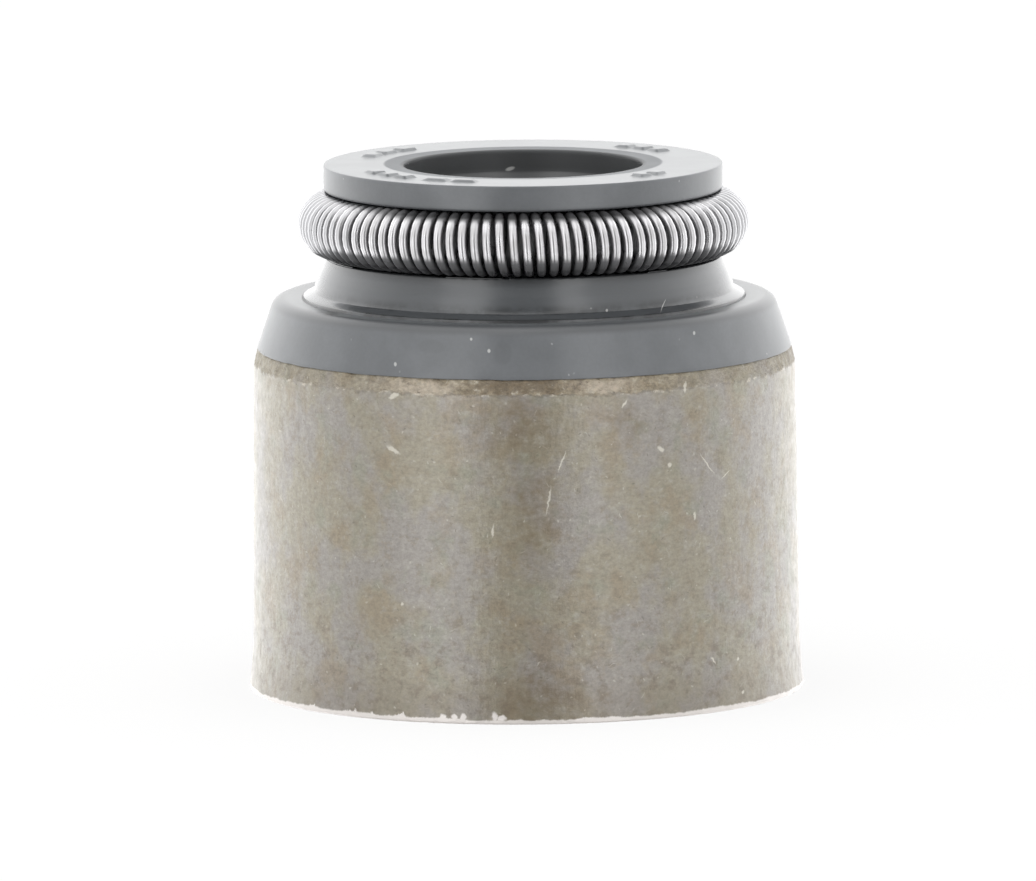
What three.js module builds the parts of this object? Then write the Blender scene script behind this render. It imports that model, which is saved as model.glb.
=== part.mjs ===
// A valve stem seal, standing as it sits on its valve guide.
// It has three pieces: a drawn steel shell, a rubber body moulded through and over the shell,
// and a garter spring that lies in the body's groove and presses the lip onto the valve stem.
// Millimetres, +Z up. The origin is on the axis, in the plane of the shell's lower rim.

import * as THREE from "three";

// The two things that the seal works between
const stemDiameter = 7.0; // the valve stem, which slides in the lip
const guideWall = 3.5; // wall of the valve guide round the stem

// Rubber body, inside
const lipSqueeze = 0.2; // how far the free lip stands inside the stem's surface
const mouthClearance = 0.2; // round the stem, in the hole through the head
const mouthDepth = 0.7; // straight part of that hole
const mouthBevelWidth = 0.6;
const mouthBevelDepth = 0.03;
const lipDepth = 1.2; // from the lip's edge out to the wall of the chamber below it
const lipUndercut = 1.4; // height over which the hole opens from the lip to the chamber
const lipAboveSpring = 0.2; // the lip's edge lies this far above the spring's mid plane
const stopThickness = 0.5; // rubber under the shell's flange, where the guide's end stops
const stopChamfer = 0.4;
const liningThickness = 0.66; // rubber between the guide and the shell
const liningChamfer = 0.4;
const plainUnderStop = 2.1; // height of the plain bore under the stop, above the ribs
const ribCount = 4; // rings that grip the guide
const ribHeight = 0.2;
const ribWidth = 0.7;

// Rubber body, outside
const rubberOverShell = 0.6; // above the shell's flange
const overmouldDrop = 1.0; // how far the rubber reaches down over the shell's corner
const rubberEdge = 0.07; // blunt edge that it ends in there
const shoulderInset = 0.54; // the shoulder's top edge lies this far inside its lower edge
const shoulderCornerRadius = 0.25;
const neckHeight = 1.26;
const neckFootHeight = 0.4; // straight foot of the neck
const neckFlare = 0.32; // how far the foot stands out past the neck's top
const neckHollow = 0.04; // how far the neck is hollowed between its foot and its top
const lipSection = 1.69; // rubber between the lip's edge and the floor of the groove
const grooveWrap = 190; // degrees of the spring's round that the groove holds
const grooveLip = 0.06; // how far the neck and the head stand out past the groove
const headThickness = 0.79;
const headEdgeRadius = 0.08;

// Steel shell
const shellWall = 0.7;
const shellCornerRadius = 1.8; // outside
const flangeReach = 0.9; // how far the flange goes on past the corner's bend
const skirtHeight = 9.8; // from the rim to the start of the corner
const skirtTaper = 0.08; // how much wider the skirt is at the flare than at the corner
const rimFlare = 0.14; // how much the rim opens below that
const rimFlareHeight = 2.3;
const rimEdge = 0.1; // broken edges of the cut rim
const bondLine = 0.02; // layer of bonding agent between steel and rubber

// Garter spring
const coilDiameter = 1.98;
const wireDiameter = 0.28;
const turnGap = 0.0225; // between two turns, on the inside of the ring
const springClearance = 0.04; // round the coil, in its groove

// Fineness of the faceted surfaces
const roundSteps = 60; // round the axis
const cornerSteps = 4;
const flareSteps = 3;
const grooveSteps = 10;
const stepsPerTurn = 8;
const wireSides = 5;
const sameAngle = 1e-6; // angles closer than this are one

// Radii, from the axis outwards
const stemRadius = stemDiameter / 2;
const guideRadius = stemRadius + guideWall;
const lipRadius = stemRadius - lipSqueeze;
const mouthRadius = stemRadius + mouthClearance;
const chamberRadius = lipRadius + lipDepth;
const grooveRadius = coilDiameter / 2 + springClearance;
const springRadius = lipRadius + lipSection + grooveRadius; // of the coil's centre line
const grooveStart = THREE.MathUtils.degToRad((360 - grooveWrap) / 2); // from straight outwards
const headRadius = springRadius + grooveRadius * Math.cos(grooveStart) + grooveLip;
const neckFootRadius = headRadius + neckFlare;
const liningOuterRadius = guideRadius + liningThickness;
const shellRadius = liningOuterRadius + bondLine + shellWall;
const bendRadius = shellRadius - shellCornerRadius; // centre of the shell's corner
const flangeHoleRadius = bendRadius - flangeReach;

// Heights, from the rim upwards
const shellTop = skirtHeight + shellCornerRadius;
const stopHeight = shellTop - shellWall - bondLine - stopThickness;
const rubberEdgeHeight = shellTop - overmouldDrop;
const shoulderTop = shellTop + rubberOverShell;
const neckTop = shoulderTop + neckHeight;
const springHeight = neckTop + grooveRadius * Math.sin(grooveStart);
const headBottom = springHeight + grooveRadius * Math.sin(grooveStart);
const headTop = headBottom + headThickness;
const lipHeight = springHeight + lipAboveSpring;

const point = (radius, height) => new THREE.Vector2(radius, height);

// Points of an arc in the section, ends included; angles are in radians from straight outwards.
function arc(centreRadius, centreHeight, radius, from, to, steps) {
  return Array.from({ length: steps + 1 }, (_, i) => {
    const angle = from + ((to - from) * i) / steps;
    return point(centreRadius + radius * Math.cos(angle), centreHeight + radius * Math.sin(angle));
  });
}

// Points of a curve from one end to the other, both included. Its middle lies to the left of the straight
// line between them, by the distance called hollow.
function hollowed(start, end, hollow, steps) {
  const left = point(start.y - end.y, end.x - start.x).normalize();
  const pull = start.clone().add(end).divideScalar(2).addScaledVector(left, 2 * hollow);
  return new THREE.QuadraticBezierCurve(start, pull, end).getPoints(steps);
}

// Turns a closed section round the axis. The section runs anticlockwise: radius to the right, height up.
function turned(section) {
  return new THREE.LatheGeometry([...section, section[0]], roundSteps).rotateX(Math.PI / 2);
}

// Outer radius of the shell's skirt at a height: a slight taper up to the corner, and a flare at the rim.
function skirtRadius(height) {
  const flareTop = shellRadius + skirtTaper;
  if (height < rimFlareHeight) {
    return flareTop + rimFlare * (1 - height / rimFlareHeight) ** 2;
  }
  return THREE.MathUtils.mapLinear(height, rimFlareHeight, skirtHeight, flareTop, shellRadius);
}

// The shell's corner at a distance outside its outer face (inside it where that is negative), from the flange
// down to an angle. All such arcs have their facets side by side, so they keep their distance.
function cornerArc(offset, lowest = 0) {
  const facet = Math.PI / 2 / cornerSteps;
  const angles = Array.from({ length: cornerSteps }, (_, i) => Math.PI / 2 - i * facet);
  return [...angles.filter((angle) => angle > lowest + sameAngle), lowest].map((angle) => {
    const fromMiddle = (angle % facet) - facet / 2;
    const radius = ((shellCornerRadius + offset) * Math.cos(facet / 2)) / Math.cos(fromMiddle);
    return point(bendRadius + radius * Math.cos(angle), skirtHeight + radius * Math.sin(angle));
  });
}

function shellSection() {
  const flare = Array.from({ length: flareSteps }, (_, i) => rimFlareHeight * (1 - i / flareSteps));
  const flareOutside = flare.toReversed().map((height) => point(skirtRadius(height), height));
  const flareInside = flare.map((height) => point(skirtRadius(height) - shellWall, height));
  const rimOuter = skirtRadius(0);
  const rimInner = rimOuter - shellWall;
  return [
    point(rimInner + rimEdge, 0),
    point(rimOuter - rimEdge, 0),
    point(rimOuter, rimEdge),
    ...flareOutside,
    ...cornerArc(0).toReversed(),
    point(flangeHoleRadius, shellTop),
    point(flangeHoleRadius, shellTop - shellWall),
    ...cornerArc(-shellWall),
    ...flareInside,
    point(rimInner, rimEdge),
  ];
}

// Where the rubber touches the shell: up inside the skirt, round the flange's edge and out over the corner.
function bondedFace(edgeAngle) {
  const throughFlange = flangeHoleRadius - bondLine;
  return [
    point(skirtRadius(rimFlareHeight) - shellWall - bondLine, rimFlareHeight),
    ...cornerArc(-shellWall - bondLine).toReversed(),
    point(throughFlange, shellTop - shellWall - bondLine),
    point(throughFlange, shellTop + bondLine),
    ...cornerArc(bondLine, edgeAngle),
  ];
}

// Shoulder from the edge of the overmould up and in to the foot of the neck.
function shoulder(edgeRadius) {
  const lowerEdge = point(edgeRadius, rubberEdgeHeight);
  const topRadius = edgeRadius - shoulderInset;
  const cornerStart = point(
    topRadius + (shoulderCornerRadius * shoulderInset) / (shoulderTop - rubberEdgeHeight),
    shoulderTop - shoulderCornerRadius,
  );
  const cornerEnd = point(topRadius - shoulderCornerRadius, shoulderTop);
  const corner = new THREE.QuadraticBezierCurve(cornerStart, point(topRadius, shoulderTop), cornerEnd);
  return [lowerEdge, ...corner.getPoints(cornerSteps), point(neckFootRadius, shoulderTop)];
}

// Neck, groove for the spring, and the outside of the head.
function neckAndHead() {
  const side = headRadius - headEdgeRadius;
  const footTop = point(neckFootRadius, shoulderTop + neckFootHeight);
  return [
    ...hollowed(footTop, point(headRadius, neckTop), neckHollow, cornerSteps),
    ...arc(springRadius, springHeight, grooveRadius, -grooveStart, grooveStart - 2 * Math.PI, grooveSteps),
    ...arc(side, headBottom + headEdgeRadius, headEdgeRadius, -Math.PI / 4, 0, 1),
    ...arc(side, headTop - headEdgeRadius, headEdgeRadius, 0, Math.PI / 2, 2),
  ];
}

// The hole for the stem: bevel, mouth, lip, and the chamber below the lip.
function stemHole() {
  const mouthTop = headTop - mouthBevelDepth;
  return [
    point(mouthRadius + mouthBevelWidth, headTop),
    point(mouthRadius, mouthTop),
    point(mouthRadius, mouthTop - mouthDepth),
    point(lipRadius, lipHeight),
    point(chamberRadius, lipHeight - lipUndercut),
    point(chamberRadius, stopHeight + stopChamfer),
    point(chamberRadius + stopChamfer, stopHeight),
  ];
}

// The lining that grips the guide, from the stop down to its chamfered lower end.
function guideHole() {
  const ribsTop = stopHeight - plainUnderStop;
  const ribPitch = (ribsTop - rimFlareHeight - liningChamfer) / ribCount;
  const ribs = Array.from({ length: ribCount }, (_, i) => {
    const middle = ribsTop - ribPitch * (i + 0.5);
    return [
      point(guideRadius, middle + ribWidth / 2),
      point(guideRadius - ribHeight, middle),
      point(guideRadius, middle - ribWidth / 2),
    ];
  });
  return [
    point(guideRadius, stopHeight),
    ...ribs.flat(),
    point(guideRadius, rimFlareHeight + liningChamfer),
    point(guideRadius + liningChamfer, rimFlareHeight),
  ];
}

function rubberSection() {
  const edgeAngle = Math.asin((rubberEdgeHeight - skirtHeight) / (shellCornerRadius + bondLine));
  const bonded = bondedFace(edgeAngle);
  const edgeRadius = bonded.at(-1).x + rubberEdge;
  return [...bonded, ...shoulder(edgeRadius), ...neckAndHead(), ...stemHole(), ...guideHole()];
}

// Centre line of the spring's wire: a coil bent into a ring and joined end to end.
class GarterCoil extends THREE.Curve {
  constructor(ringRadius, coilRadius, turns) {
    super();
    this.ringRadius = ringRadius;
    this.coilRadius = coilRadius;
    this.turns = turns;
  }

  getPoint(t, target = new THREE.Vector3()) {
    const round = 2 * Math.PI * t;
    const section = -round * this.turns; // on the outside of the ring the wire runs down to the right
    const radius = this.ringRadius + this.coilRadius * Math.cos(section);
    const height = this.coilRadius * Math.sin(section);
    return target.set(radius * Math.cos(round), radius * Math.sin(round), height);
  }

  // Equal steps of t serve as equal steps of the wire, so that each turn has its points in the same places.
  getUtoTmapping(u) {
    return u;
  }
}

function springGeometry() {
  const coilRadius = (coilDiameter - wireDiameter) / 2;
  const insideLength = 2 * Math.PI * (springRadius - coilRadius);
  const turns = Math.floor(insideLength / (wireDiameter + turnGap));
  const coil = new GarterCoil(springRadius, coilRadius, turns);
  return new THREE.TubeGeometry(coil, turns * stepsPerTurn, wireDiameter / 2, wireSides, true);
}

const steel = new THREE.MeshStandardMaterial({ color: 0x8f8676, roughness: 0.5, metalness: 0.9 });
const rubber = new THREE.MeshStandardMaterial({ color: 0x55585b, roughness: 0.55, metalness: 0 });
const springWire = new THREE.MeshStandardMaterial({ color: 0xb9b9bd, roughness: 0.25, metalness: 1 });

function piece(name, geometry, material) {
  const mesh = new THREE.Mesh(geometry, material);
  mesh.name = name;
  return mesh;
}

const steelShell = piece("steel_shell", turned(shellSection()), steel);
const rubberBody = piece("rubber_seal_body", turned(rubberSection()), rubber);
const garterSpring = piece("garter_spring", springGeometry(), springWire);
garterSpring.position.z = springHeight;

const stemSeal = new THREE.Group();
stemSeal.add(steelShell, rubberBody, garterSpring);

export default stemSeal;
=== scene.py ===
"""Valve stem seal: the looks of its steel shell, its rubber body and its garter spring.

Sizes are in millimetres, heights are from the shell's lower rim, and MM turns them into metres.
Angles round the seal are counted from its front line, which faces -Y, to the right.
"""

import math

import bpy
import numpy as np
from mathutils import Matrix, Vector


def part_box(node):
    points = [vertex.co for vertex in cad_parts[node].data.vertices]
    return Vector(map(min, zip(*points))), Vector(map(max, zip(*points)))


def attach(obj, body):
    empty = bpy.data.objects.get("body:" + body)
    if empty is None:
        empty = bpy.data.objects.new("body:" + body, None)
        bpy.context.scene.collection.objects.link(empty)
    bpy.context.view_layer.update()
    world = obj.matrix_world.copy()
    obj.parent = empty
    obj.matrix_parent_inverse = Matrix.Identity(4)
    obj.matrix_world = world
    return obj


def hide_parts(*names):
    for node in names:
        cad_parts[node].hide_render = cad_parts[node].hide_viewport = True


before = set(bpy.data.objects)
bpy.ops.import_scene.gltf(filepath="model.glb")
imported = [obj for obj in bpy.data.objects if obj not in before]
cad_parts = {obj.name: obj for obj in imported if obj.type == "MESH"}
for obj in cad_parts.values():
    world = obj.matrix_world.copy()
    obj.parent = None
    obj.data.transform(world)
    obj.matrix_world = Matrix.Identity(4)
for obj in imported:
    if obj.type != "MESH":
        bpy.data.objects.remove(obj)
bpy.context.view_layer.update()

MM = 0.001
TURN = 2 * math.pi

# Sizes that the frame has
shell_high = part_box("steel_shell")[1]
body_low, body_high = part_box("rubber_seal_body")
spring_low, spring_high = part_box("garter_spring")
RIM_RADIUS = shell_high.x / MM
SHELL_TOP = shell_high.z / MM
LINING_FOOT = body_low.z / MM
HEAD_TOP = body_high.z / MM
SPRING_HEIGHT = (spring_low.z + spring_high.z) / 2 / MM
COIL_DIAMETER = (spring_high.z - spring_low.z) / MM
SPRING_RADIUS = spring_high.x / MM - COIL_DIAMETER / 2

# Steel shell
SHELL_WALL = 0.7
SHELL_RADIUS = 8.38
BEND_RADIUS = 1.8
SKIRT_HEIGHT = SHELL_TOP - BEND_RADIUS
SKIRT_TAPER = 0.08
FLARE_HEIGHT = 2.3
RIM_FLARE = RIM_RADIUS - SHELL_RADIUS - SKIRT_TAPER
RIM_EDGE = 0.1
FLANGE_HOLE = 5.68
BOND_LINE = 0.02
BAND_LOW = 10.12
BAND_DEPTH = 0.024
SKIRT_WAVES = 0.006
SKIRT_HAIRS = 0.0016
BURR_HEIGHT = 0.03
FINE_BELOW = 0.5

# Rubber body
RUBBER_EDGE_HEIGHT = SHELL_TOP - 1.0
RUBBER_EDGE_RADIUS = 8.27
SHOULDER_TOP = SHELL_TOP + 0.6
SHOULDER_RADIUS = 7.73
NECK_FOOT_RADIUS = 6.49
FOOT_BEAD_HEIGHT = 0.29
FOOT_RING_RADIUS = 6.83
FOOT_RING_STEP = 0.035
CREASE_DEPTH = 0.07
NECK_WAIST = ((6.36, 12.88, 0.8), (6.22, 13.2, 0.5))
HEAD_RADIUS = 6.17
GROOVE_RADIUS = COIL_DIAMETER / 2 + 0.04
GROOVE_START = math.radians(85)
GROOVE_END = math.radians(100)
MOUTH_RADIUS = 3.7
MOUTH_BEVEL_RADIUS = 4.3
MOUTH_BEVEL_DEPTH = 0.03
MOUTH_DEPTH = 0.7
LIP_RADIUS = 3.3
LIP_HEIGHT = SPRING_HEIGHT + 0.2
CHAMBER_RADIUS = 4.5
CHAMBER_TOP = LIP_HEIGHT - 1.4
STOP_HEIGHT = SHELL_TOP - SHELL_WALL - BOND_LINE - 0.5
GUIDE_RADIUS = 7.0
RIB_COUNT = 4
RIB_HEIGHT = 0.2
RIB_WIDTH = 0.7
RIBS_TOP = STOP_HEIGHT - 2.1
CHAMFER = 0.4
MOULD_WAVES = 0.004
FLASH_HEIGHT = 0.006
BAR_HEIGHT = 0.075
BAR_RADIUS = 5.12
BAR_SOFTNESS = 0.08

# Groups of bars on the head: middle in degrees, count, length, half the width, and step in degrees
BAR_GROUPS = (
    (-124, 3, 0.6, 0.17, 10.0),
    (-54, 3, 0.44, 0.2, 8.4),
    (-26, 2, 0.6, 0.16, 10.5),
    (49, 2, 0.36, 0.2, 7.5),
    (133, 3, 0.4, 0.2, 8.0),
)

# Garter spring
WIRE_DIAMETER = 0.28
TURNS = 107
PITCH_SWING = 0.045
PITCH_SLIP = 0.0009
SLIP_WAVES = range(9, 40, 3)

# Fineness of the surfaces
SHELL_STEPS_ROUND = 570
BODY_STEPS_ROUND = 345
STEPS_PER_TURN = 26
WIRE_SIDES = 12


# Shapes


def unit(vector):
    return vector / np.linalg.norm(vector)


def path(corners, spacing):
    """An open line in the section through (radius, height, fillet) corners. Each corner is an arc of its
    fillet's radius that meets both sides, and the straight stretches between arcs are divided into equal
    steps."""
    spots = np.array([corner[:2] for corner in corners], float)
    stretches = []
    for here, (before, spot, after) in enumerate(zip(spots[:-2], spots[1:-1], spots[2:]), 1):
        fillet = corners[here][2]
        back, ahead = unit(before - spot), unit(after - spot)
        half = math.acos(np.clip(back @ ahead, -1, 1)) / 2
        centre = spot + unit(back + ahead) * fillet / math.sin(half)
        start = spot + back * fillet / math.tan(half) - centre
        end = spot + ahead * fillet / math.tan(half) - centre
        sweep = math.atan2(start[0] * end[1] - start[1] * end[0], start @ end)
        steps = max(2, math.ceil(abs(sweep) * fillet / spacing))
        turned = sweep * np.linspace(0, 1, steps + 1)
        cos, sin = np.cos(turned), np.sin(turned)
        arc = np.stack([start[0] * cos - start[1] * sin, start[0] * sin + start[1] * cos], 1)
        stretches.append(centre + arc)
    line = [spots[:1]]
    for stretch in [*stretches, spots[-1:]]:
        last, first = line[-1][-1], stretch[0]
        steps = max(1, math.ceil(np.linalg.norm(first - last) / spacing))
        between = np.linspace(0, 1, steps + 1)[1:-1, None]
        line.append(last + (first - last) * between)
        line.append(stretch)
    return np.concatenate([part for part in line if len(part)])


def circle_arc(radius, height, size, start, end, spacing):
    """Points of a circle of the section, from one angle to another, counted from straight outwards."""
    steps = math.ceil(abs(end - start) * size / spacing)
    angle = np.linspace(start, end, steps + 1)
    return np.stack([radius + size * np.cos(angle), height + size * np.sin(angle)], 1)


def outward(section):
    """Unit normals of a closed section that runs anticlockwise: its direction, turned to the right."""
    along = np.roll(section, -1, 0) - np.roll(section, 1, 0)
    along /= np.linalg.norm(along, axis=1, keepdims=True)
    return np.stack([along[:, 1], -along[:, 0]], 1)


def smooth(low, high, value):
    """0 below low, 1 above high, and an S-curve between them."""
    share = np.clip((value - low) / (high - low), 0, 1)
    return share * share * (3 - 2 * share)


def ripple(angle, height, seed, count, finest_round, finest_up):
    """Gentle unevenness mostly between -1 and 1: waves with random directions and phases, added up. Each
    of them closes on itself round the seal."""
    random = np.random.default_rng(seed)
    around = random.integers(-finest_round, finest_round + 1, count)
    up = random.uniform(-finest_up, finest_up, count)
    phase = random.uniform(0, TURN, count)
    total = np.zeros(np.broadcast(angle, height).shape)
    for m, n, p in zip(around, up, phase):
        total += np.cos(m * angle + n * height + p)
    return total / math.sqrt(count)


def cell_corners(row, column, next_row, next_column, width):
    """The numbers of each grid cell's four corners, in a grid whose rows have width points."""
    corners = np.broadcast_arrays(
        row * width + column,
        row * width + next_column,
        next_row * width + next_column,
        next_row * width + column,
    )
    return np.stack(corners, -1).reshape(-1, 4)


def surface(name, points, uv, material, body, node):
    """A mesh over a grid of points, rows along the piece and columns round it, which both close on
    themselves. Each grid cell is one face, which runs round first and then along. uv holds one row and one
    column more than points, so that each seam has both its ends."""
    rows, columns = points.shape[:2]
    row = np.arange(rows)[:, None]
    column = np.arange(columns)[None, :]
    faces = cell_corners(row, column, (row + 1) % rows, (column + 1) % columns, columns)
    uv_corners = cell_corners(row, column, row + 1, column + 1, columns + 1)
    mesh = bpy.data.meshes.new(name)
    mesh.vertices.add(rows * columns)
    mesh.vertices.foreach_set("co", (points * MM).astype(np.float32).ravel())
    mesh.loops.add(faces.size)
    mesh.loops.foreach_set("vertex_index", faces.astype(np.int32).ravel())
    mesh.polygons.add(len(faces))
    mesh.polygons.foreach_set("loop_start", np.arange(0, faces.size, 4, dtype=np.int32))
    layer = mesh.uv_layers.new(name="along_the_surface")
    layer.data.foreach_set("uv", uv.reshape(-1, 2)[uv_corners.ravel()].astype(np.float32).ravel())
    mesh.update(calc_edges=True)
    mesh.shade_smooth()
    mesh.materials.append(material)
    piece = bpy.data.objects.new(name, mesh)
    bpy.context.scene.collection.objects.link(piece)
    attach(piece, body)
    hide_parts(node)


def turned_grid(section, steps, relief):
    """A closed section turned round the axis. relief(angle, radius, height) stands out along the section's
    normals. Returns the points and the uv map: the arc from the front line, and the height, in
    millimetres."""
    angle = np.linspace(-math.pi, math.pi, steps + 1)[None, :]
    radius, height = section[:, :1], section[:, 1:]
    normal = outward(section)
    stand = relief(angle, radius, height)
    around = radius + normal[:, :1] * stand
    up = height + normal[:, 1:] * stand
    points = np.stack([around * np.sin(angle), -around * np.cos(angle), up], -1)
    closed = np.concatenate([section, section[:1]])
    uv = np.stack(np.broadcast_arrays(angle * closed[:, :1], closed[:, 1:]), -1)
    return points[:, :-1], uv


# Steel shell


def skirt_radius(height):
    """Outer radius of the skirt: a straight taper down to the flare, and a square law from there to the
    rim."""
    taper = SKIRT_TAPER * np.clip((SKIRT_HEIGHT - height) / (SKIRT_HEIGHT - FLARE_HEIGHT), 0, 1)
    flare = RIM_FLARE * np.clip(1 - height / FLARE_HEIGHT, 0, 1) ** 2
    return SHELL_RADIUS + taper + flare


def shell_section():
    """The shell's closed section: up the outside, over the corner and the flange, and down the inside."""
    fine = np.arange(RIM_EDGE, FINE_BELOW, 0.04)
    coarse = np.linspace(FINE_BELOW, SKIRT_HEIGHT, 66)
    heights = np.concatenate([fine, coarse])
    outside = np.stack([skirt_radius(heights), heights], 1)
    bend = SHELL_RADIUS - BEND_RADIUS
    corner = circle_arc(bend, SKIRT_HEIGHT, BEND_RADIUS, 0, math.pi / 2, spacing=0.09)[1:-1]
    inner_bend = BEND_RADIUS - SHELL_WALL
    flange = path(
        [
            (bend, SHELL_TOP, 0),
            (FLANGE_HOLE, SHELL_TOP, 0.05),
            (FLANGE_HOLE, SHELL_TOP - SHELL_WALL, 0.05),
            (bend, SHELL_TOP - SHELL_WALL, 0),
        ],
        spacing=0.3,
    )
    inner_corner = circle_arc(bend, SKIRT_HEIGHT, inner_bend, math.pi / 2, 0, spacing=0.2)[1:]
    inner_heights = np.linspace(SKIRT_HEIGHT, RIM_EDGE, 22)[1:]
    inside = np.stack([skirt_radius(inner_heights) - SHELL_WALL, inner_heights], 1)
    rim = path(
        [
            tuple(inside[-1]) + (0,),
            (RIM_RADIUS - SHELL_WALL + 0.02, 0, 0.07),
            (RIM_RADIUS - 0.02, 0, 0.07),
            (RIM_RADIUS, RIM_EDGE, 0),
        ],
        spacing=0.05,
    )[1:-1]
    return np.concatenate([outside, corner, flange, inner_corner, inside, rim])


def shell_relief(angle, radius, height):
    """The unevenness of the pressed skirt, the rough band of bonding agent under the rubber's edge,
    thickest next to it, and the burr of the cut rim. It fades out on the inside of the wall and towards
    the rim's flat underside."""
    outside = smooth(SHELL_RADIUS - 0.3, SHELL_RADIUS - 0.1, radius + 0 * angle)
    outside = outside * smooth(0.02, RIM_EDGE, height)
    wavy = SKIRT_WAVES * ripple(angle, height, 1, 14, 5, 0.9)
    lumps = ripple(angle, height, 2, 60, 150, 18)
    edge = BAND_LOW + 0.06 * ripple(angle, 0 * height, 3, 12, 26, 1)
    band = smooth(edge - 0.05, edge + 0.05, height)
    band = band * smooth(RUBBER_EDGE_HEIGHT + 0.25, RUBBER_EDGE_HEIGHT, height)
    burr_line = smooth(0.2, 1.4, ripple(angle, 0 * height, 4, 30, 90, 1))
    burr = smooth(0.24, 0.06, height) * np.clip(burr_line, 0, 1.6)
    hair = SKIRT_HAIRS * ripple(angle, height, 5, 40, 150, 9)
    fill = 1 + 1.3 * smooth(RUBBER_EDGE_HEIGHT - 0.25, RUBBER_EDGE_HEIGHT - 0.05, height)
    crust = BAND_DEPTH * band * fill * (0.6 + 0.4 * lumps)
    worn = wavy + hair + crust + BURR_HEIGHT * burr * (1 + 0.35 * lumps)
    return outside * worn


# Rubber body


def marks_relief(angle, radius):
    """Plain raised bars on the head's top, in groups: each is a flat-topped mound, with its length round
    the head and its width across it."""
    total = np.zeros(np.broadcast(angle, radius).shape)
    across = np.abs(radius - BAR_RADIUS)
    for middle, count, length, half_width, step in BAR_GROUPS:
        for place in (np.arange(count) - (count - 1) / 2) * step + middle:
            turn = np.mod(angle - math.radians(place) + math.pi, TURN) - math.pi
            bar = smooth(length / 2 + BAR_SOFTNESS, length / 2, np.abs(turn) * BAR_RADIUS)
            total += bar * smooth(half_width + BAR_SOFTNESS, half_width, across)
    return total


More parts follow.
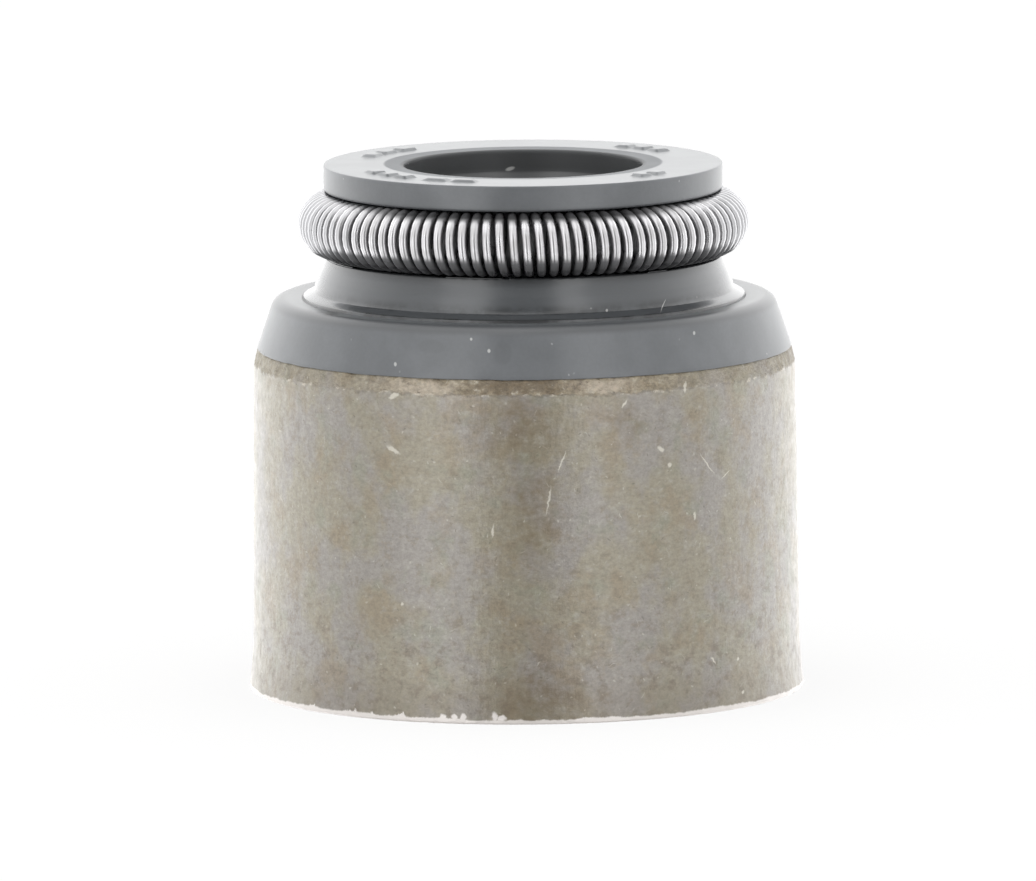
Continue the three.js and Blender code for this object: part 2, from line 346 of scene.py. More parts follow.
def body_section():
    """The rubber's closed section: up the shell's inside, round its flange and over its corner, up the
    shoulder, the neck, the groove and the head, and down through the mouth, the lip, the chamber and the
    lining."""
    bend = SHELL_RADIUS - BEND_RADIUS
    inner_bend = BEND_RADIUS - SHELL_WALL - BOND_LINE
    lining_radius = SHELL_RADIUS - SHELL_WALL - BOND_LINE
    edge_angle = math.asin((RUBBER_EDGE_HEIGHT - SKIRT_HEIGHT) / (BEND_RADIUS + BOND_LINE))
    through = FLANGE_HOLE - BOND_LINE
    bonded = np.concatenate(
        [
            path(
                [
                    (skirt_radius(FLARE_HEIGHT) - SHELL_WALL - BOND_LINE, LINING_FOOT, 0),
                    (lining_radius, SKIRT_HEIGHT, 0),
                ],
                spacing=1.2,
            ),
            circle_arc(bend, SKIRT_HEIGHT, inner_bend, 0, math.pi / 2, spacing=0.3)[1:],
            path(
                [
                    (bend, SHELL_TOP - SHELL_WALL - BOND_LINE, 0),
                    (through, SHELL_TOP - SHELL_WALL - BOND_LINE, 0.02),
                    (through, SHELL_TOP + BOND_LINE, 0.02),
                    (bend, SHELL_TOP + BOND_LINE, 0),
                ],
                spacing=0.45,
            )[1:],
            circle_arc(bend, SKIRT_HEIGHT, BEND_RADIUS + BOND_LINE, math.pi / 2, edge_angle, spacing=0.3)[1:],
        ]
    )
    bead_top = SHOULDER_TOP + FOOT_BEAD_HEIGHT
    neck_top = SPRING_HEIGHT - GROOVE_RADIUS * math.sin(GROOVE_START)
    shoulder = path(
        [
            (*bonded[-1], 0),
            (RUBBER_EDGE_RADIUS, RUBBER_EDGE_HEIGHT - 0.01, 0.02),
            (SHOULDER_RADIUS, SHOULDER_TOP, 0.42),
            (FOOT_RING_RADIUS + 0.05, SHOULDER_TOP - CREASE_DEPTH / 2, 0.02),
            (FOOT_RING_RADIUS + 0.01, SHOULDER_TOP - CREASE_DEPTH, 0.012),
            (FOOT_RING_RADIUS, SHOULDER_TOP + FOOT_RING_STEP, 0.015),
            (NECK_FOOT_RADIUS + 0.03, SHOULDER_TOP + 0.2, 0.06),
            (NECK_FOOT_RADIUS - 0.01, bead_top, 0.05),
            (NECK_FOOT_RADIUS - 0.04, bead_top + 0.12, 0.1),
            *NECK_WAIST,
            (HEAD_RADIUS - 0.02, neck_top - 0.03, 0.03),
            (HEAD_RADIUS - 0.06, neck_top, 0),
        ],
        spacing=0.11,
    )[1:]
    groove = circle_arc(
        SPRING_RADIUS, SPRING_HEIGHT, GROOVE_RADIUS, -GROOVE_START, GROOVE_END - TURN, spacing=0.16
    )
    head_bottom = SPRING_HEIGHT + GROOVE_RADIUS * math.sin(GROOVE_END)
    mouth_foot = HEAD_TOP - MOUTH_BEVEL_DEPTH - MOUTH_DEPTH
    head = path(
        [
            (*groove[-1], 0),
            (HEAD_RADIUS, head_bottom, 0.09),
            (HEAD_RADIUS, HEAD_TOP, 0.035),
            (MOUTH_BEVEL_RADIUS, HEAD_TOP, 0.1),
            (MOUTH_RADIUS, HEAD_TOP - MOUTH_BEVEL_DEPTH, 0.05),
            (MOUTH_RADIUS, mouth_foot + 0.3, 0),
        ],
        spacing=0.065,
    )[1:]
    lip = path(
        [
            (*head[-1], 0),
            (MOUTH_RADIUS, mouth_foot, 0.2),
            (LIP_RADIUS, LIP_HEIGHT, 0.05),
            (CHAMBER_RADIUS, CHAMBER_TOP, 0.3),
            (CHAMBER_RADIUS, CHAMBER_TOP - 0.4, 0),
        ],
        spacing=0.15,
    )[1:]
    pitch = (RIBS_TOP - LINING_FOOT - CHAMFER) / RIB_COUNT
    ribs = []
    for i in range(RIB_COUNT):
        middle = RIBS_TOP - pitch * (i + 0.5)
        ribs += [
            (GUIDE_RADIUS, middle + RIB_WIDTH / 2, 0.1),
            (GUIDE_RADIUS - RIB_HEIGHT, middle, 0.12),
            (GUIDE_RADIUS, middle - RIB_WIDTH / 2, 0.1),
        ]
    lining = path(
        [
            (*lip[-1], 0),
            (CHAMBER_RADIUS, STOP_HEIGHT + CHAMFER, 0.1),
            (CHAMBER_RADIUS + CHAMFER, STOP_HEIGHT, 0.1),
            (GUIDE_RADIUS, STOP_HEIGHT, 0.05),
            *ribs,
            (GUIDE_RADIUS, LINING_FOOT + CHAMFER, 0.1),
            (GUIDE_RADIUS + CHAMFER, LINING_FOOT, 0.05),
            (*bonded[0], 0),
        ],
        spacing=0.5,
    )[1:-1]
    return np.concatenate([bonded, shoulder, groove, head, lip, lining])


def body_relief(angle, radius, height):
    """Moulding unevenness on the outside of the rubber, a thin flash at its lower edge, and the raised
    bars on the head's top."""
    on_outside = smooth(RUBBER_EDGE_HEIGHT - 0.3, RUBBER_EDGE_HEIGHT, height) * smooth(5.9, 6.1, radius)
    moulding = MOULD_WAVES * ripple(angle, height, 11, 16, 7, 1.5)
    flash = FLASH_HEIGHT * smooth(0.12, 0, np.abs(height - RUBBER_EDGE_HEIGHT))
    flash = flash * ripple(angle, 0 * height, 12, 30, 60, 1)
    on_top = smooth(HEAD_TOP - 0.01, HEAD_TOP - 0.002, height)
    bars = BAR_HEIGHT * on_top * marks_relief(angle, radius)
    return on_outside * (moulding + flash) * (1 - on_top) + bars


# Garter spring


def spring_points():
    """A wire wound into a coil and bent into a ring. Its centre line is at the ring's radius plus the
    coil's, turned by the section angle, which runs TURNS times round while the ring goes round once. The
    turns lie a little tighter on the left than on the right, and slip a little at random. The wire's own
    section is a circle across the centre line."""
    coil_radius = (COIL_DIAMETER - WIRE_DIAMETER) / 2
    share = np.arange(TURNS * STEPS_PER_TURN) / (TURNS * STEPS_PER_TURN)
    random = np.random.default_rng(21)
    slip = np.zeros_like(share)
    for k in SLIP_WAVES:
        slip += PITCH_SLIP * np.cos(k * TURN * share + random.uniform(0, TURN))
    around = TURN * share - PITCH_SWING * np.cos(TURN * share) + slip
    section = -TURN * TURNS * share
    radius = SPRING_RADIUS + coil_radius * np.cos(section)
    centre = np.stack(
        [radius * np.sin(around), -radius * np.cos(around), SPRING_HEIGHT + coil_radius * np.sin(section)], 1
    )
    ahead = np.roll(centre, -1, 0) - np.roll(centre, 1, 0)
    ahead /= np.linalg.norm(ahead, axis=1, keepdims=True)
    ring = SPRING_RADIUS * np.stack([np.sin(around), -np.cos(around), np.zeros_like(around)], 1)
    ring[:, 2] += SPRING_HEIGHT
    out = centre - ring
    out -= ahead * np.sum(out * ahead, 1, keepdims=True)
    out /= np.linalg.norm(out, axis=1, keepdims=True)
    side = np.cross(ahead, out)
    angle = np.linspace(0, TURN, WIRE_SIDES + 1)[None, :, None]
    turned = out[:, None] * np.cos(angle) + side[:, None] * np.sin(angle)
    wire = centre[:, None] + WIRE_DIAMETER / 2 * turned
    length = share * TURNS * TURN * coil_radius
    length = np.append(length, TURNS * TURN * coil_radius)[:, None]
    uv = np.stack(np.broadcast_arrays(angle[:, :, 0] * WIRE_DIAMETER / 2, length), -1)
    return wire[:, :-1], uv


# Materials


def add(tree, kind, values=(), **settings):
    """Adds a shader node, sets its settings, and fills its sockets: a value that is a socket is linked."""
    made = tree.nodes.new("ShaderNode" + kind)
    for name, value in settings.items():
        setattr(made, name, value)
    for name, value in dict(values).items():
        socket = made.inputs[name]
        if isinstance(value, bpy.types.NodeSocket):
            tree.links.new(value, socket)
        else:
            socket.default_value = value
    return made


def calc(tree, operation, first, second=0.0):
    """One step of arithmetic on two values."""
    return add(tree, "Math", {0: first, 1: second}, operation=operation).outputs[0]


def times(tree, first, second):
    """The product of two values."""
    return calc(tree, "MULTIPLY", first, second)


def distance(tree, first, second):
    """The length of the vector that has these two parts."""
    vector = add(tree, "CombineXYZ", {0: first, 1: second}).outputs[0]
    return add(tree, "VectorMath", {0: vector}, operation="LENGTH").outputs["Value"]


def between(tree, value, low, high, to_low=0.0, to_high=1.0):
    """Maps a value smoothly from one range to another, and holds it inside."""
    values = {"Value": value, "From Min": low, "From Max": high, "To Min": to_low, "To Max": to_high}
    return add(tree, "MapRange", values, interpolation_type="SMOOTHSTEP").outputs[0]


def noise(tree, where, scale, detail, roughness, stretch=(1, 1, 1), seed=0.0):
    """Noise in millimetres, stretched along the axes."""
    moved = add(tree, "Mapping", {"Vector": where, "Location": (seed, seed, seed), "Scale": stretch})
    values = {"Vector": moved.outputs[0], "Scale": scale, "Detail": detail, "Roughness": roughness}
    return add(tree, "TexNoise", values).outputs[0]


def blend(tree, share, first, second, mode="MIX"):
    """Mixes two colours."""
    made = add(tree, "Mix", data_type="RGBA", blend_type=mode)
    for socket, value in zip((made.inputs[0], made.inputs[6], made.inputs[7]), (share, first, second)):
        if isinstance(value, bpy.types.NodeSocket):
            tree.links.new(value, socket)
        else:
            socket.default_value = value
    return made.outputs[2]


def shade(tree, value, low, high):
    """A grey for multiplying a colour by, from a noise's usual range."""
    level = between(tree, value, 0.3, 0.7, low, high)
    return add(tree, "CombineXYZ", {0: level, 1: level, 2: level}).outputs[0]


def colour(red, green, blue):
    """A colour as it looks, 0 to 255, as the shader's linear value."""
    levels = np.array([red, green, blue]) / 255
    return (*np.where(levels <= 0.04045, levels / 12.92, ((levels + 0.055) / 1.055) ** 2.4), 1.0)


# Steel shell: colours
OLIVE_GREY = colour(146, 139, 121)
VIOLET_GREY = colour(146, 141, 137)
BROWN_CLOUD = colour(140, 125, 100)
GREEN_CLOUD = colour(135, 136, 118)
DARK_MOTTLE = colour(124, 112, 91)
PALE_MOTTLE = colour(163, 158, 149)
BLOTCH = colour(112, 100, 88)
# painted shade: darkens the skirt towards the rim
RIM_PAINTED_SHADE = colour(112, 101, 85)
DULL_BROWN = colour(112, 96, 68)
TAN = colour(160, 148, 124)
PALE_TAN = colour(188, 175, 157)
DARK_BROWN = colour(92, 73, 42)
PALE_CRUMB = colour(204, 196, 180)
DARK_CRUMB = colour(70, 55, 34)
BAND_EDGE = colour(66, 54, 38)
FLAKE = colour(214, 204, 188)
PIT = colour(78, 68, 54)
BARE_METAL = colour(226, 221, 208)
# painted highlight of the rim's burr and its glints
BURR_HIGHLIGHT = colour(238, 232, 228)

# Rubber body: colours
RUBBER = colour(97, 100, 103)
PALE_RUBBER = colour(104, 107, 110)
# painted shade of the neck
SHADED_NECK_RUBBER = colour(86, 89, 92)
# painted shade of the foot ring's ledge and the shoulder's rounded edge
LEDGE_AND_EDGE_SHADE = colour(76, 78, 80)
# painted shade in the creases and under the spring
RUBBER_PAINTED_SHADE = colour(45, 46, 47)
MOUTH_SHADE = colour(62, 63, 63)
DUST = colour(200, 200, 198)
MARK_SHADE = colour(38, 38, 38)
SMUDGE = colour(60, 62, 64)

# Garter spring: colours
WIRE = colour(217, 216, 218)
STAINED_WIRE = colour(199, 198, 199)
# painted shade at the ring's left and right ends
WIRE_END_SHADE = colour(188, 188, 190)
# painted shade: between the turns, on the underside, and darkest under the head and at the bottom
WIRE_GAP_SHADE = colour(118, 118, 120)
WIRE_UNDERSIDE_SHADE = colour(82, 83, 85)
WIRE_DEEP_SHADE = colour(36, 36, 38)

# Roughness of the rubber, what the neck has less of, and what the flat ring round the mouth has more of
RUBBER_ROUGHNESS = 0.36
NECK_POLISH = 0.14
RING_ROUGHNESS = 0.26

# Marks placed one by one: across and up the uv map, length, width, and lean from upright in degrees
STAIN_MARKS = (
    (0.6, 0.7, 1.8, 3.2, 0),
    (-0.1, 9.0, 1.8, 2.6, 0),
    (0.2, 6.6, 3.2, 1.6, 0),
    (3.2, 9.2, 1.0, 1.4, 0),
)
PALE_BAND_MARKS = (
    (-3.4, 10.35, 0.7, 2.1, 0),
    (2.45, 10.3, 0.7, 1.9, 0),
)
BROWN_BAND_MARKS = ((-0.2, 10.4, 0.9, 3.0, 0),)
NICK_MARKS = (
    (-4.22, 8.36, 0.5, 0.15, -64),
    (-1.01, 5.97, 0.42, 0.06, 6),
    (0.7, 6.9, 0.85, 0.06, 10),
    (1.12, 8.1, 0.66, 0.055, 22),
    (4.34, 8.32, 0.26, 0.12, -50),
    (4.65, 7.8, 0.14, 0.13, 0),
    (5.58, 6.15, 0.27, 0.09, 3),
    (6.1, 7.7, 0.85, 0.05, -42),
    (6.9, 7.3, 0.45, 0.045, 62),
    (3.12, 9.79, 0.3, 0.08, 40),
    (5.25, 10.16, 0.34, 0.1, 8),
    (-4.17, 10.02, 0.4, 0.14, 62),
    (-3.95, 3.61, 0.12, 0.11, 0),
    (6.3, 1.6, 0.3, 0.06, -40),
    (7.4, 1.54, 0.11, 0.1, 0),
    (7.6, 0.49, 0.12, 0.11, 0),
)
# painted glints on a few bumps of the rim's burr
BURR_GLINT_MARKS = (
    (-2.62, 0.2, 0.2, 0.2, 0),
    (-2.25, 0.2, 0.18, 0.22, 0),
    (-1.98, 0.2, 0.24, 0.2, 0),
    (-1.0, 0.22, 0.34, 0.2, 0),
    (-0.78, 0.2, 0.2, 0.3, 0),
)
SPECK_MARKS = (
    (-1.09, 11.46, 0.12, 0.1, 0),
    (-4.13, 10.97, 0.13, 0.1, 0),
    (-1.64, 11.8, 0.09, 0.08, 0),
    (5.68, 11.71, 0.12, 0.1, 0),
    (2.6, 12.44, 0.09, 0.08, 0),
    (4.65, 12.45, 0.42, 0.035, 38),
)
MOUTH_FLECK = ((-11.22, 15.68, 0.12, 0.3, 15),)
DARK_MARKS = (
    (-11.3, 10.68, 0.16, 0.1, 0),
    (-11.0, 10.62, 0.08, 0.2, 0),
    (-6.97, 12.22, 0.9, 0.14, 90),
    (6.06, 12.22, 1.5, 0.08, 90),
)
SMUDGE_MARKS = (
    (-0.68, 11.4, 0.7, 0.55, 0),
    (-2.9, 11.55, 0.4, 0.9, 0),
)


def material(name, **sockets):
    """An empty material with a Principled shader, whose fixed values are on its own sockets. Returns the
    material, its tree, the shader, object coordinates in millimetres and the uv map."""
    made = bpy.data.materials.new(name)
    made.use_nodes = True
    tree = made.node_tree
    shader = tree.nodes["Principled BSDF"]
    for socket, value in sockets.items():
        shader.inputs[socket.replace("_", " ")].default_value = value
    inside = add(tree, "TexCoord").outputs["Object"]
    where = add(tree, "VectorMath", {0: inside, "Scale": 1 / MM}, operation="SCALE").outputs[0]
    flat = add(tree, "UVMap", uv_map="along_the_surface").outputs[0]
    return made, tree, shader, where, flat


def shifted(tree, place, colours, reach):
    """Moves each point of the uv map by a noise's colours, by up to half the reach each way."""
    sway = add(tree, "VectorMath", {0: colours, 1: (0.5, 0.5, 0.5)}, operation="SUBTRACT").outputs[0]
    sway = add(tree, "VectorMath", {0: sway, "Scale": reach}, operation="SCALE").outputs[0]
    return add(tree, "VectorMath", {0: place, 1: sway}, operation="ADD").outputs[0]


def spots(tree, flat, marks, outer=1.25, inner=0.6):
    """Ellipses on the uv map: 1 inside one, 0 outside. It fades between outer and inner, as shares of its
    size. A mark is its place in the uv map, its length, its width and its lean from upright in degrees."""
    nearest = None
    for across, up, length, width, lean in marks:
        values = {
            "Vector": flat,
            "Location": (across, up, 0),
            "Rotation": (0, 0, math.radians(-lean)),
            "Scale": (width / 2, length / 2, 1),
        }
        local = add(tree, "Mapping", values, vector_type="TEXTURE").outputs[0]
        far = add(tree, "VectorMath", {0: local}, operation="LENGTH").outputs["Value"]
        nearest = far if nearest is None else calc(tree, "MINIMUM", nearest, far)
    return between(tree, nearest, outer, inner)


def random_nicks(tree, flat, size, share, length, width, seed):
    """Short straight nicks, at most one in each random cell of the uv map, each with its own direction.
    share is the part of the cells that have one, length and width are in cell sizes."""
    moved = add(tree, "Mapping", {"Vector": flat, "Location": (seed, seed / 3, 0)}).outputs[0]
    cells = add(tree, "TexVoronoi", {"Vector": moved, "Scale": 1 / size}, voronoi_dimensions="2D")
    local = add(tree, "VectorMath", {0: moved, 1: cells.outputs["Position"]}, operation="SUBTRACT").outputs[0]
    parts = add(tree, "SeparateColor", {"Color": cells.outputs["Color"]})
    lean = times(tree, parts.outputs[0], TURN)
    turned = add(tree, "VectorRotate", {"Vector": local, "Angle": lean}, rotation_type="Z_AXIS").outputs[0]
    fitted = add(
        tree, "VectorMath", {0: turned, 1: (2 / (width * size), 2 / (length * size), 0)}, operation="MULTIPLY"
    ).outputs[0]
    far = add(tree, "VectorMath", {0: fitted}, operation="LENGTH").outputs["Value"]
    inside = between(tree, far, 1.2, 0.5)
    chosen = calc(tree, "LESS_THAN", parts.outputs[1], share)
    strength = between(tree, parts.outputs[2], 0.0, 1.0, 0.35, 1.0)
    return times(tree, times(tree, inside, chosen), strength)


def shell_steel():
    """Matte pressed steel: olive-grey with brown, violet and greenish clouds, fine crumbly mottling, brown
    stains at the front, short bright nicks and dark pits, and the rough brown band of bonding agent under the
    rubber. Painted shade darkens it towards the rim, and the burr of the cut rim is painted near white as a
    highlight, with painted glints on a few of its bumps."""
    made, tree, shader, where, flat = material("olive_grey_pressed_steel", Metallic=0.1, IOR=1.85)
    height = add(tree, "SeparateXYZ", {"Vector": where}).outputs[2]

    clouds = noise(tree, where, 0.55, 4, 0.6, (1, 1, 0.8), 3.1)
    patches = noise(tree, where, 0.8, 4, 0.6, (1, 1, 0.9), 7.7)
    blooms = noise(tree, where, 1.0, 3, 0.55, (1, 1, 1), 12.4)
    mottle = noise(tree, where, 2.3, 5, 0.7, (1, 1, 1.2), 1.3)
    crackle = noise(tree, where, 6.0, 3, 0.7, (1, 1, 1.5), 18.5)
    grain = noise(tree, where, 14, 3, 0.65)
    lines = noise(tree, where, 4.0, 3, 0.6, (1, 1, 0.2), 5.2)

    tone = blend(tree, between(tree, clouds, 0.42, 0.6, 0, 0.8), OLIVE_GREY, VIOLET_GREY)
    tone = blend(tree, between(tree, patches, 0.5, 0.68, 0, 0.6), tone, BROWN_CLOUD)
    tone = blend(tree, between(tree, blooms, 0.54, 0.7, 0, 0.55), tone, GREEN_CLOUD)
    tone = blend(tree, between(tree, mottle, 0.52, 0.68, 0, 0.5), tone, DARK_MOTTLE)
    tone = blend(tree, between(tree, mottle, 0.47, 0.33, 0, 0.4), tone, PALE_MOTTLE)
    # Dark blotches follow the mottle; that they grow towards the rim is painted shade, like the darkening
    # below.
    blotches = times(tree, between(tree, mottle, 0.5, 0.64), between(tree, height, 5.0, 1.0, 0, 0.45))
    tone = blend(tree, blotches, tone, BLOTCH)
    tone = blend(tree, 1.0, tone, shade(tree, crackle, 0.87, 1.13), "MULTIPLY")
    tone = blend(tree, 1.0, tone, shade(tree, grain, 0.94, 1.06), "MULTIPLY")
    # Painted shade: the skirt darkens towards the rim, where the floor's shadow shows in it.
    tone = blend(tree, between(tree, height, 1.7, 0.5, 0, 0.3), tone, RIM_PAINTED_SHADE)

    shaken = add(tree, "TexNoise", {"Vector": where, "Scale": 7.0, "Detail": 2.0}).outputs["Color"]
    rolling = add(tree, "TexNoise", {"Vector": where, "Scale": 1.6, "Detail": 4.0}).outputs["Color"]
    ragged = shifted(tree, flat, shaken, 0.13)
    loose = shifted(tree, flat, rolling, 1.5)
    stains = spots(tree, loose, STAIN_MARKS, 1.6, 0.1)
    stains = times(tree, stains, between(tree, mottle, 0.35, 0.62, 0.15, 0.65))
    tone = blend(tree, stains, tone, DULL_BROWN)

    wander = times(tree, calc(tree, "SUBTRACT", mottle, 0.5), 0.4)
    band_height = calc(tree, "ADD", height, wander)
    band = between(tree, band_height, BAND_LOW - 0.05, BAND_LOW + 0.06)
    crumbs = noise(tree, where, 2.6, 6, 0.75, (1, 1, 1.3), 4.4)
    glue = blend(tree, between(tree, crumbs, 0.38, 0.6), DULL_BROWN, TAN)
    pale = spots(tree, loose, PALE_BAND_MARKS, 1.5, 0.4)
    glue = blend(tree, times(tree, pale, 0.8), glue, PALE_TAN)
    brown = spots(tree, loose, BROWN_BAND_MARKS, 1.4, 0.5)
    glue = blend(tree, times(tree, brown, 0.7), glue, DARK_BROWN)
    glue = blend(tree, between(tree, crumbs, 0.57, 0.68, 0, 0.7), glue, PALE_CRUMB)
    glue = blend(tree, between(tree, crumbs, 0.42, 0.33, 0, 0.6), glue, DARK_CRUMB)
    glue = blend(tree, 1.0, glue, shade(tree, crackle, 0.78, 1.22), "MULTIPLY")
    across = add(tree, "SeparateXYZ", {"Vector": flat}).outputs[0]
    faded = between(tree, calc(tree, "ABSOLUTE", across), 3.4, 6.2, 0.92, 0.3)
    tone = blend(tree, times(tree, band, faded), tone, glue)
    dark_line = times(
        tree,
        between(tree, band_height, BAND_LOW - 0.08, BAND_LOW - 0.02),
        between(tree, band_height, BAND_LOW + 0.06, BAND_LOW),
    )
    broken = between(tree, crumbs, 0.45, 0.6, 0, 0.4)
    tone = blend(tree, times(tree, dark_line, broken), tone, BAND_EDGE)
    flakes = times(tree, dark_line, between(tree, crumbs, 0.47, 0.38, 0, 0.6))
    tone = blend(tree, flakes, tone, FLAKE)

    nicks = random_nicks(tree, ragged, 0.45, 0.25, 0.2, 0.12, 3.0)
    hairs = random_nicks(tree, ragged, 1.1, 0.25, 0.22, 0.03, 8.0)
    pits = random_nicks(tree, ragged, 0.42, 0.4, 0.28, 0.1, 15.0)
    bright = calc(tree, "MAXIMUM", times(tree, nicks, 0.3), times(tree, hairs, 0.3))
    named = spots(tree, ragged, NICK_MARKS)
    bright = calc(tree, "MAXIMUM", bright, times(tree, named, 0.62))
    tone = blend(tree, times(tree, pits, 0.45), tone, PIT)
    tone = blend(tree, bright, tone, BARE_METAL)

    # Painted highlight: a ragged near-white strip along the cut rim's burr, where it reflects the white
    # floor, and glints on a few of its bumps.
    edge = noise(tree, where, 1.3, 5, 0.7, (1, 1, 0.5), 2.0)
    ragged_top = between(tree, edge, 0.3, 0.7, -0.03, 0.05)
    burr_top = calc(tree, "ADD", ragged_top, between(tree, edge, 0.6, 0.72, 0, 0.12))
    burr = between(tree, calc(tree, "SUBTRACT", height, burr_top), 0.18, 0.12)
    burr_glints = spots(tree, ragged, BURR_GLINT_MARKS)
    burr = calc(tree, "MAXIMUM", burr, burr_glints)
    tone = blend(tree, times(tree, burr, 0.92), tone, BURR_HIGHLIGHT)
    tree.links.new(tone, shader.inputs["Base Color"])

    rough = between(tree, mottle, 0.3, 0.7, 0.28, 0.4)
    rough = calc(tree, "ADD", rough, times(tree, band, 0.2))
    tree.links.new(rough, shader.inputs["Roughness"])
    waves = add(tree, "Bump", {"Height": lines, "Distance": 0.02 * MM, "Strength": 0.6})
    fine = add(tree, "Bump", {"Height": crackle, "Distance": 0.012 * MM, "Normal": waves.outputs[0]})
    rougher = add(tree, "Bump", {"Height": crumbs, "Distance": 0.09 * MM, "Normal": fine.outputs[0]})
    tree.links.new(band, rougher.inputs["Strength"])
    tree.links.new(rougher.outputs[0], shader.inputs["Normal"])
    return made


def seal_rubber():
    """Satin blue-grey moulded rubber with faint moulding clouds and dust. The neck is smoother than the rest,
    and darker with painted shade. Painted shade lies above the bead at its foot, in the crease of the ring
    round it, and under the spring. The ledge inside that ring, the shoulder's rounded edge and the mouth
    are darkened with painted shade too, a smudge on the shoulder's front is darker, and the flat ring round
    the mouth is rougher."""
    made, tree, shader, where, flat = material("blue_grey_rubber", IOR=1.7)
    clouds = noise(tree, where, 0.8, 3, 0.5, (1, 1, 1), 6.0)
    grain = noise(tree, where, 9, 3, 0.6)
    patchiness = noise(tree, where, 1.4, 4, 0.6, (1, 1, 1), 31.0)
    tone = blend(tree, between(tree, clouds, 0.35, 0.65), RUBBER, PALE_RUBBER)
    tone = blend(tree, 1.0, tone, shade(tree, grain, 0.97, 1.03), "MULTIPLY")
    axes = add(tree, "SeparateXYZ", {"Vector": where})
    height = axes.outputs[2]
    radius = distance(tree, axes.outputs[0], axes.outputs[1])

    neck = times(
        tree,
        between(tree, height, SHOULDER_TOP - 0.02, SHOULDER_TOP + 0.03),
        between(tree, height, SPRING_HEIGHT + 0.3, SPRING_HEIGHT),
    )
    # Painted shade: the neck, hidden between the spring and the shoulder, is darker.
    tone = blend(tree, times(tree, neck, 0.8), tone, SHADED_NECK_RUBBER)
    bead_top = SHOULDER_TOP + FOOT_BEAD_HEIGHT
    # Painted shade above the bead at the neck's foot and in the crease of the ring round it, made patchy by a
    # noise.
    waver = times(tree, calc(tree, "SUBTRACT", patchiness, 0.5), 0.12)
    wavering = calc(tree, "ADD", height, waver)
    above_bead = times(
        tree,
        between(tree, wavering, bead_top + 0.25, bead_top - 0.02),
        between(tree, wavering, bead_top - 0.14, bead_top - 0.07),
    )
    on_neck = between(tree, radius, NECK_FOOT_RADIUS + 0.12, NECK_FOOT_RADIUS + 0.05)
    above_bead = times(tree, above_bead, on_neck)
    above_bead = times(tree, above_bead, between(tree, patchiness, 0.35, 0.6, 0.15, 0.6))
    from_ring = calc(tree, "ABSOLUTE", calc(tree, "SUBTRACT", radius, FOOT_RING_RADIUS + 0.01))
    ring_crease = times(
        tree,
        between(tree, from_ring, 0.1, 0.03),
        between(tree, height, SHOULDER_TOP + 0.3, SHOULDER_TOP + 0.1),
    )
    ring_crease = times(tree, ring_crease, between(tree, patchiness, 0.35, 0.6, 0.3, 0.9))
    # Painted shade: the ledge inside the foot ring and the shoulder's rounded top edge are darkened.
    ledge = times(
        tree,
        between(tree, radius, NECK_FOOT_RADIUS, NECK_FOOT_RADIUS + 0.08),
        between(tree, radius, FOOT_RING_RADIUS + 0.06, FOOT_RING_RADIUS),
    )
    ledge = times(tree, ledge, between(tree, height, SHOULDER_TOP, SHOULDER_TOP + 0.03))
    rounding = times(
        tree,
        between(tree, radius, SHOULDER_RADIUS + 0.2, SHOULDER_RADIUS + 0.04),
        between(tree, height, SHOULDER_TOP - 0.38, SHOULDER_TOP - 0.17),
    )
    rounding = times(tree, rounding, between(tree, radius, 7.25, 7.5))
    shaded_ledge_and_edge = calc(tree, "MAXIMUM", times(tree, ledge, 0.45), times(tree, rounding, 0.8))
    tone = blend(tree, shaded_ledge_and_edge, tone, LEDGE_AND_EDGE_SHADE)
    # Painted shadow of the spring on the neck's top.
    under_spring = between(tree, height, SPRING_HEIGHT - 1.35, SPRING_HEIGHT - 1.0, 0, 0.75)
    under_spring = times(tree, under_spring, between(tree, height, SPRING_HEIGHT + 1.1, SPRING_HEIGHT))
    painted_shade = calc(tree, "MAXIMUM", above_bead, calc(tree, "MAXIMUM", ring_crease, under_spring))
    tone = blend(tree, painted_shade, tone, RUBBER_PAINTED_SHADE)

    mouth = between(tree, radius, MOUTH_RADIUS + 0.15, MOUTH_RADIUS + 0.03)
    tone = blend(tree, times(tree, mouth, 0.75), tone, MOUTH_SHADE)
    dust = random_nicks(tree, flat, 0.9, 0.12, 0.09, 0.07, 22.0)
    specks = spots(tree, flat, SPECK_MARKS)
    fleck = times(tree, spots(tree, flat, MOUTH_FLECK), mouth)
    specks = times(tree, calc(tree, "MAXIMUM", specks, fleck), 0.75)
    light = calc(tree, "MAXIMUM", times(tree, dust, 0.35), specks)
    tone = blend(tree, light, tone, DUST)
    dark = spots(tree, flat, DARK_MARKS)
    tone = blend(tree, times(tree, dark, 0.7), tone, MARK_SHADE)
    smudge = spots(tree, flat, SMUDGE_MARKS, 1.2, 0.8)
    tone = blend(tree, times(tree, smudge, 0.14), tone, SMUDGE)
    tree.links.new(tone, shader.inputs["Base Color"])
    rough = calc(tree, "SUBTRACT", RUBBER_ROUGHNESS, times(tree, neck, NECK_POLISH))
    ring = times(
        tree,
        between(tree, radius, MOUTH_BEVEL_RADIUS + 0.06, MOUTH_BEVEL_RADIUS - 0.06),
        between(tree, height, HEAD_TOP - 0.15, HEAD_TOP - 0.1),
    )
    rough = calc(tree, "ADD", rough, times(tree, ring, RING_ROUGHNESS))
    tree.links.new(rough, shader.inputs["Roughness"])
    bump = add(tree, "Bump", {"Height": grain, "Distance": 0.004 * MM, "Strength": 0.3})
    tree.links.new(bump.outputs[0], shader.inputs["Normal"])
    return made


